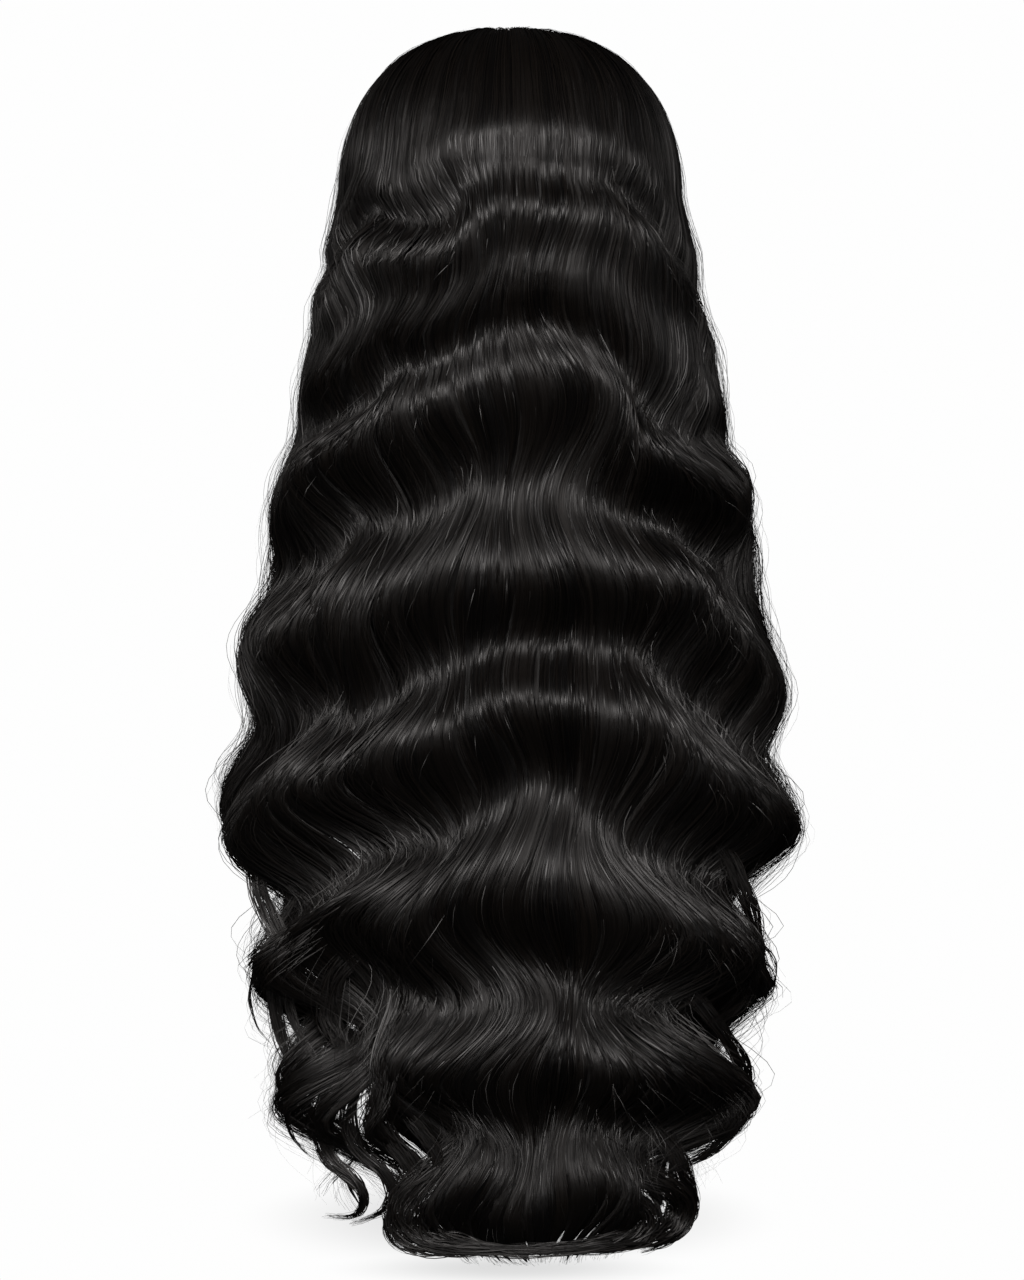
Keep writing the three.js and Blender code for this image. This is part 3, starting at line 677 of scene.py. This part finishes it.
def strandPaths(name, groups, rng):
    # every path of a section in one mesh of edges, with what the node tree needs at its points
    s = strandShape
    mesh = bpy.data.meshes.new(name)
    total = sum(len(group["run"]) for group in groups)
    columns, first, edges = 0, 0, []
    for group in groups:
        point, run = group["point"], group["run"]
        count, rows = run.shape
        down = unit(np.gradient(point, axis=1))
        flat = unit(np.cross(down, group["outward"]))
        lifted = np.cross(flat, down)
        turns = rng.uniform(0, 2 * np.pi, (count, 1))
        rate = rng.uniform(*s["wanderTurns"], (count, 1))
        roll = rng.normal(0, s["roll"], (count, 1))
        roll = roll + s["rollSwing"] * np.sin(2 * np.pi * rate * run + turns)
        ones = np.ones((count, rows))
        group["acrossWay"] = flat * np.cos(roll)[..., None] + lifted * np.sin(roll)[..., None]
        group["column"] = (np.arange(count)[:, None] + columns) / total * ones
        group["columnWidth"] = s["columnShare"] / total * ones
        group["tone"] = rng.uniform(0, 1, (count, 1)) * ones
        index = first + np.arange(count * rows).reshape(count, rows)
        edges.append(np.stack([index[:, :-1], index[:, 1:]], -1).reshape(-1, 2))
        columns, first = columns + count, first + count * rows
    edges = np.concatenate(edges)
    point = np.concatenate([group["point"].reshape(-1, 3) for group in groups])
    mesh.vertices.add(len(point))
    mesh.vertices.foreach_set("co", (point * mm).astype(np.float32).ravel())
    mesh.edges.add(len(edges))
    mesh.edges.foreach_set("vertices", edges.astype(np.int32).ravel())
    for key in ("taper", "run", "column", "columnWidth", "tone"):
        value = np.concatenate([group[key].ravel() for group in groups])
        mesh.attributes.new(key, "FLOAT", "POINT").data.foreach_set("value", value.astype(np.float32))
    aim = np.concatenate([group["acrossWay"].reshape(-1, 3) for group in groups])
    attribute = mesh.attributes.new("acrossWay", "FLOAT_VECTOR", "POINT")
    attribute.data.foreach_set("vector", aim.astype(np.float32).ravel())
    mesh.update()
    return bpy.data.objects.new(name, mesh)


def sweepStrands(paths, tree, widthSocket, materialSocket, material):
    # what the node tree makes of the paths becomes the piece's own mesh
    bpy.context.scene.collection.objects.link(paths)
    modifier = paths.modifiers.new("ribbons", "NODES")
    modifier.node_group = tree
    modifier[widthSocket] = strandShape["width"] * mm
    modifier[materialSocket] = material
    evaluated = paths.evaluated_get(bpy.context.evaluated_depsgraph_get())
    mesh = bpy.data.meshes.new_from_object(evaluated)
    mesh.name = paths.name
    modifier.node_group = None
    paths.modifiers.remove(modifier)
    laid = paths.data
    paths.data = mesh
    bpy.data.meshes.remove(laid)
    for key in ("taper", "run", "column", "columnWidth", "acrossWay", "edge"):
        if key in mesh.attributes:
            mesh.attributes.remove(mesh.attributes[key])


# materials

# Natural black human hair, steamed into waves: almost black, with a long narrow gleam across each strand.
hairLook = {
    "dark": "#060505", "brown": "#120e0b", "roughness": (0.41, 0.61), "ior": 1.55, "anisotropy": 0.78,
    # fibres drawn on the locks: how many of them, their bump in mm and how much rougher they are
    "fibresPerLock": 80, "fibreRun": 9, "fibreDetail": 3.0, "fibreBump": 0.8, "fibreDepth": 0.6,
    "fibreFrom": (0.35, 0.65), "fibreRough": (-0.05, 0.2),
}


def hairMaterial(name, fibres):
    look = hairLook
    material, tree, shader = newMaterial(name)
    tone = addNode(tree, "ShaderNodeAttribute", {"attribute_name": "tone"})
    colour = addNode(tree, "ShaderNodeMix", {"data_type": "RGBA"}, i0=tone.outputs["Fac"])
    colour.inputs[6].default_value = linearColour(look["dark"])
    colour.inputs[7].default_value = linearColour(look["brown"])
    tree.links.new(colour.outputs[2], shader.inputs["Base Color"])
    smoothest, roughest = look["roughness"]
    rough = addNode(tree, "ShaderNodeMapRange", {"To Min": smoothest, "To Max": roughest},
                    Value=tone.outputs["Fac"])
    tree.links.new(rough.outputs[0], shader.inputs["Roughness"])
    shader.inputs["IOR"].default_value = look["ior"]
    shader.inputs["Anisotropic"].default_value = look["anisotropy"]
    tangent = addNode(tree, "ShaderNodeTangent", {"direction_type": "UV_MAP", "uv_map": "OFBake"})
    tree.links.new(tangent.outputs[0], shader.inputs["Tangent"])
    if fibres:
        place = addNode(tree, "ShaderNodeUVMap", {"uv_map": "OFBake"})
        stretch = addNode(tree, "ShaderNodeMapping", {"Scale": (fibres, look["fibreRun"], 1)},
                          Vector=place.outputs[0])
        streaks = addNode(tree, "ShaderNodeTexNoise", {"Scale": 1.0, "Detail": look["fibreDetail"]},
                          Vector=stretch.outputs[0])
        bump = addNode(tree, "ShaderNodeBump",
                       {"Strength": look["fibreBump"], "Distance": look["fibreDepth"] * mm},
                       Height=streaks.outputs[0])
        tree.links.new(bump.outputs[0], shader.inputs["Normal"])
        (low, high), (least, most) = look["fibreFrom"], look["fibreRough"]
        streaked = addNode(tree, "ShaderNodeMapRange",
                           {"From Min": low, "From Max": high, "To Min": least, "To Max": most},
                           Value=streaks.outputs[0])
        added = addNode(tree, "ShaderNodeMath", {"operation": "ADD"},
                        i0=rough.outputs[0], i1=streaked.outputs[0])
        tree.links.new(added.outputs[0], shader.inputs["Roughness"])
    return material


# Knitted stretch net of the cap: matt black with a fine open diamond mesh.
netLook = {
    "cell": 2.2,   # mm, drawn coarser than the real 1 mm net so that it shows
    "turned": (0.6, 0.5, 0.7), "uneven": 1.0, "thread": (0.05, 0.2),
    "threadColour": "#262321", "holeColour": "#0b0a0a", "roughness": 0.8, "bump": 0.6, "bumpDepth": 0.4,
}
# Swiss lace of the closure: thin tan hexagon tulle, darker between its threads where the hair is tied in.
laceLook = {
    "cell": 1.8,   # mm, drawn coarser than the real 0.8 mm lace so that it shows
    "turned": (0, 0, 0), "uneven": 0.35, "thread": (0.04, 0.16),
    "threadColour": "#b58f6d", "holeColour": "#6d4d37", "roughness": 0.75, "bump": 0.5, "bumpDepth": 0.3,
}


def threadMaterial(name, look):
    material, tree, shader = newMaterial(name)
    place = addNode(tree, "ShaderNodeTexCoord")
    turned = addNode(tree, "ShaderNodeMapping", {"Rotation": look["turned"]},
                     Vector=place.outputs["Object"])
    cells = {"feature": "DISTANCE_TO_EDGE", "Scale": 1 / (look["cell"] * mm), "Randomness": look["uneven"]}
    holes = addNode(tree, "ShaderNodeTexVoronoi", cells, Vector=turned.outputs[0])
    inner, outer = look["thread"]
    thread = addNode(tree, "ShaderNodeMapRange", {"From Min": inner, "From Max": outer},
                     Value=holes.outputs["Distance"])
    colour = addNode(tree, "ShaderNodeMix", {"data_type": "RGBA"}, i0=thread.outputs[0])
    colour.inputs[6].default_value = linearColour(look["threadColour"])
    colour.inputs[7].default_value = linearColour(look["holeColour"])
    tree.links.new(colour.outputs[2], shader.inputs["Base Color"])
    shader.inputs["Roughness"].default_value = look["roughness"]
    bump = addNode(tree, "ShaderNodeBump",
                   {"Strength": look["bump"], "Distance": look["bumpDepth"] * mm, "invert": True},
                   Height=thread.outputs[0])
    tree.links.new(bump.outputs[0], shader.inputs["Normal"])
    return material


# build the hair

seed = 11
strandHair = hairMaterial("blackHairStrands", 0)
tree, widthSocket, materialSocket = ribbonTree()
for number, (node, section) in enumerate(hairSections.items()):
    rng = np.random.default_rng(seed + number)
    locks = layLocks(section, rng)
    lockHair = hairMaterial("blackHairLocks_" + node, hairLook["fibresPerLock"] * section["locks"])
    body = buildLocks(node + "_locks", section, locks, rng)
    body.data.materials.append(lockHair)
    bpy.context.scene.collection.objects.link(body)
    groups = [followLocks(section, locks, rng)]
    groups += [freeLock(lock, rng) for lock in freeLocks.get(node, [])]
    strands = strandPaths(node + "_strands", groups, rng)
    sweepStrands(strands, tree, widthSocket, materialSocket, strandHair)
    for piece in (body, strands):
        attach(piece, "root")
        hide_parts(node)
    print(node, len(body.data.polygons), "lock faces,", len(strands.data.polygons), "strand faces")

for node, name, look in (("wig_cap", "stretchNet", netLook), ("lace_closure", "hexagonLace", laceLook)):
    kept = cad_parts[node]
    kept.data.materials.clear()
    kept.data.materials.append(threadMaterial(name, look))
print("cap and lace dressed")


# floor, light and camera

studio = {
    "floorZ": -0.803, "floorRadius": 2.0, "floorSides": 64, "fadeFrom": 0.6, "fadeTo": 1.8,
    "white": 0.99, "ambient": 0.02, "lamp": (1, 0.955, 0.935), "aim": (0, 0.02, -0.4),
    # painted shade in the floor's colour, under the hair and on the side away from the main light
    "shade": [
        {"y": -0.23, "halfWidth": 0.2, "halfDepth": 0.32, "core": 0.35, "depth": 0.22},
        {"y": 0.05, "halfWidth": 0.13, "halfDepth": 0.09, "core": 0.1, "depth": 0.25},
    ],
    "softboxes": {
        "keyBack": {"place": (0.1, 2.3, 0.85), "size": (1.4, 1.0), "power": 55},
        "floorBounce": {"place": (0, 2.2, -1.1), "size": (1.6, 0.6), "power": 2},
        "fillFront": {"place": (0.1, -2.4, -0.1), "size": (1.4, 1.0), "power": 13},
        "fillLeft": {"place": (2.4, 0.1, 0.8), "size": (1.0, 1.0), "power": 1.5},
        "fillRight": {"place": (-2.4, 0.1, 0.8), "size": (1.0, 1.0), "power": 1.5},
    },
}
view = {"place": (-0.0013, 3.03, -0.3906), "distance": 3.0, "imageHeight": 0.845, "sensor": 36}


def paleFloor():
    mesh = bpy.data.meshes.new("floor")
    sides, radius = studio["floorSides"], studio["floorRadius"]
    turns = [2 * math.pi * i / sides for i in range(sides)]
    rim = [(radius * math.cos(turn), radius * math.sin(turn), studio["floorZ"]) for turn in turns]
    mesh.from_pydata(rim, [], [list(range(sides))])
    floor = bpy.data.objects.new("floor", mesh)
    material = bpy.data.materials.new("paleFloorPaintedShade")
    material.use_nodes = True
    tree = material.node_tree
    tree.nodes.clear()
    place = addNode(tree, "ShaderNodeTexCoord")
    # painted shade: soft pools darken the floor's own glow to stand in for the hair's shadow, which the
    # glowing floor cannot receive
    tones = []
    for pool in studio["shade"]:
        moved = addNode(tree, "ShaderNodeVectorMath", {"operation": "SUBTRACT"}, i0=place.outputs["Object"])
        moved.inputs[1].default_value = (0, pool["y"], studio["floorZ"])
        shrunk = addNode(tree, "ShaderNodeVectorMath", {"operation": "DIVIDE"}, i0=moved.outputs[0])
        shrunk.inputs[1].default_value = (pool["halfWidth"], pool["halfDepth"], 1)
        reach = addNode(tree, "ShaderNodeVectorMath", {"operation": "LENGTH"}, i0=shrunk.outputs[0])
        soft = {"interpolation_type": "SMOOTHSTEP", "From Min": pool["core"], "From Max": 1.0,
                "To Min": 1 - pool["depth"], "To Max": 1.0}
        tones.append(addNode(tree, "ShaderNodeMapRange", soft, Value=reach.outputs["Value"]))
    grey = addNode(tree, "ShaderNodeMath", {"operation": "MULTIPLY"},
                   i0=tones[0].outputs[0], i1=tones[1].outputs[0])
    glow = addNode(tree, "ShaderNodeEmission", {"Strength": studio["white"]}, Color=grey.outputs[0])
    away = addNode(tree, "ShaderNodeVectorMath", {"operation": "MULTIPLY"}, i0=place.outputs["Object"])
    away.inputs[1].default_value = (1, 1, 0)
    far = addNode(tree, "ShaderNodeVectorMath", {"operation": "LENGTH"}, i0=away.outputs[0])
    stretch = {"From Min": studio["fadeFrom"], "From Max": studio["fadeTo"]}
    fade = addNode(tree, "ShaderNodeMapRange", stretch, Value=far.outputs["Value"])
    clear = addNode(tree, "ShaderNodeBsdfTransparent")
    surface = addNode(tree, "ShaderNodeMixShader", None,
                      i0=fade.outputs[0], i1=glow.outputs[0], i2=clear.outputs[0])
    addNode(tree, "ShaderNodeOutputMaterial", None, Surface=surface.outputs[0])
    mesh.materials.append(material)
    floor.visible_diffuse = floor.visible_glossy = False
    floor.visible_transmission = floor.visible_shadow = False
    return floor


def softbox(name, place, size, power):
    data = bpy.data.lights.new(name, "AREA")
    data.shape = "RECTANGLE"
    data.size, data.size_y = size
    data.energy = power
    data.color = studio["lamp"]
    box = bpy.data.objects.new(name, data)
    box.location = place
    box.rotation_euler = (Vector(studio["aim"]) - Vector(place)).to_track_quat("-Z", "Y").to_euler()
    box.visible_camera = False
    return box


world = bpy.data.worlds.new("studio")
world.use_nodes = True
tree = world.node_tree
tree.nodes.clear()
rays = addNode(tree, "ShaderNodeLightPath")
seen = addNode(tree, "ShaderNodeMapRange", {"To Min": studio["ambient"], "To Max": studio["white"]},
               Value=rays.outputs["Is Camera Ray"])
sky = addNode(tree, "ShaderNodeBackground", None, Color=seen.outputs[0])
addNode(tree, "ShaderNodeOutputWorld", None, Surface=sky.outputs[0])
bpy.context.scene.world = world
bpy.context.scene.view_settings.view_transform = "Standard"

stageSet = [paleFloor()]
stageSet += [softbox(name, **box) for name, box in studio["softboxes"].items()]
lens = bpy.data.cameras.new("photoCamera")
lens.sensor_width = view["sensor"]
lens.lens = view["sensor"] * view["distance"] / view["imageHeight"]
camera = bpy.data.objects.new("photoCamera", lens)
camera.location = view["place"]
camera.rotation_euler = (math.pi / 2, 0, math.pi)
stageSet.append(camera)
for item in stageSet:
    bpy.context.scene.collection.objects.link(item)
bpy.context.scene.camera = camera
print("stage set")
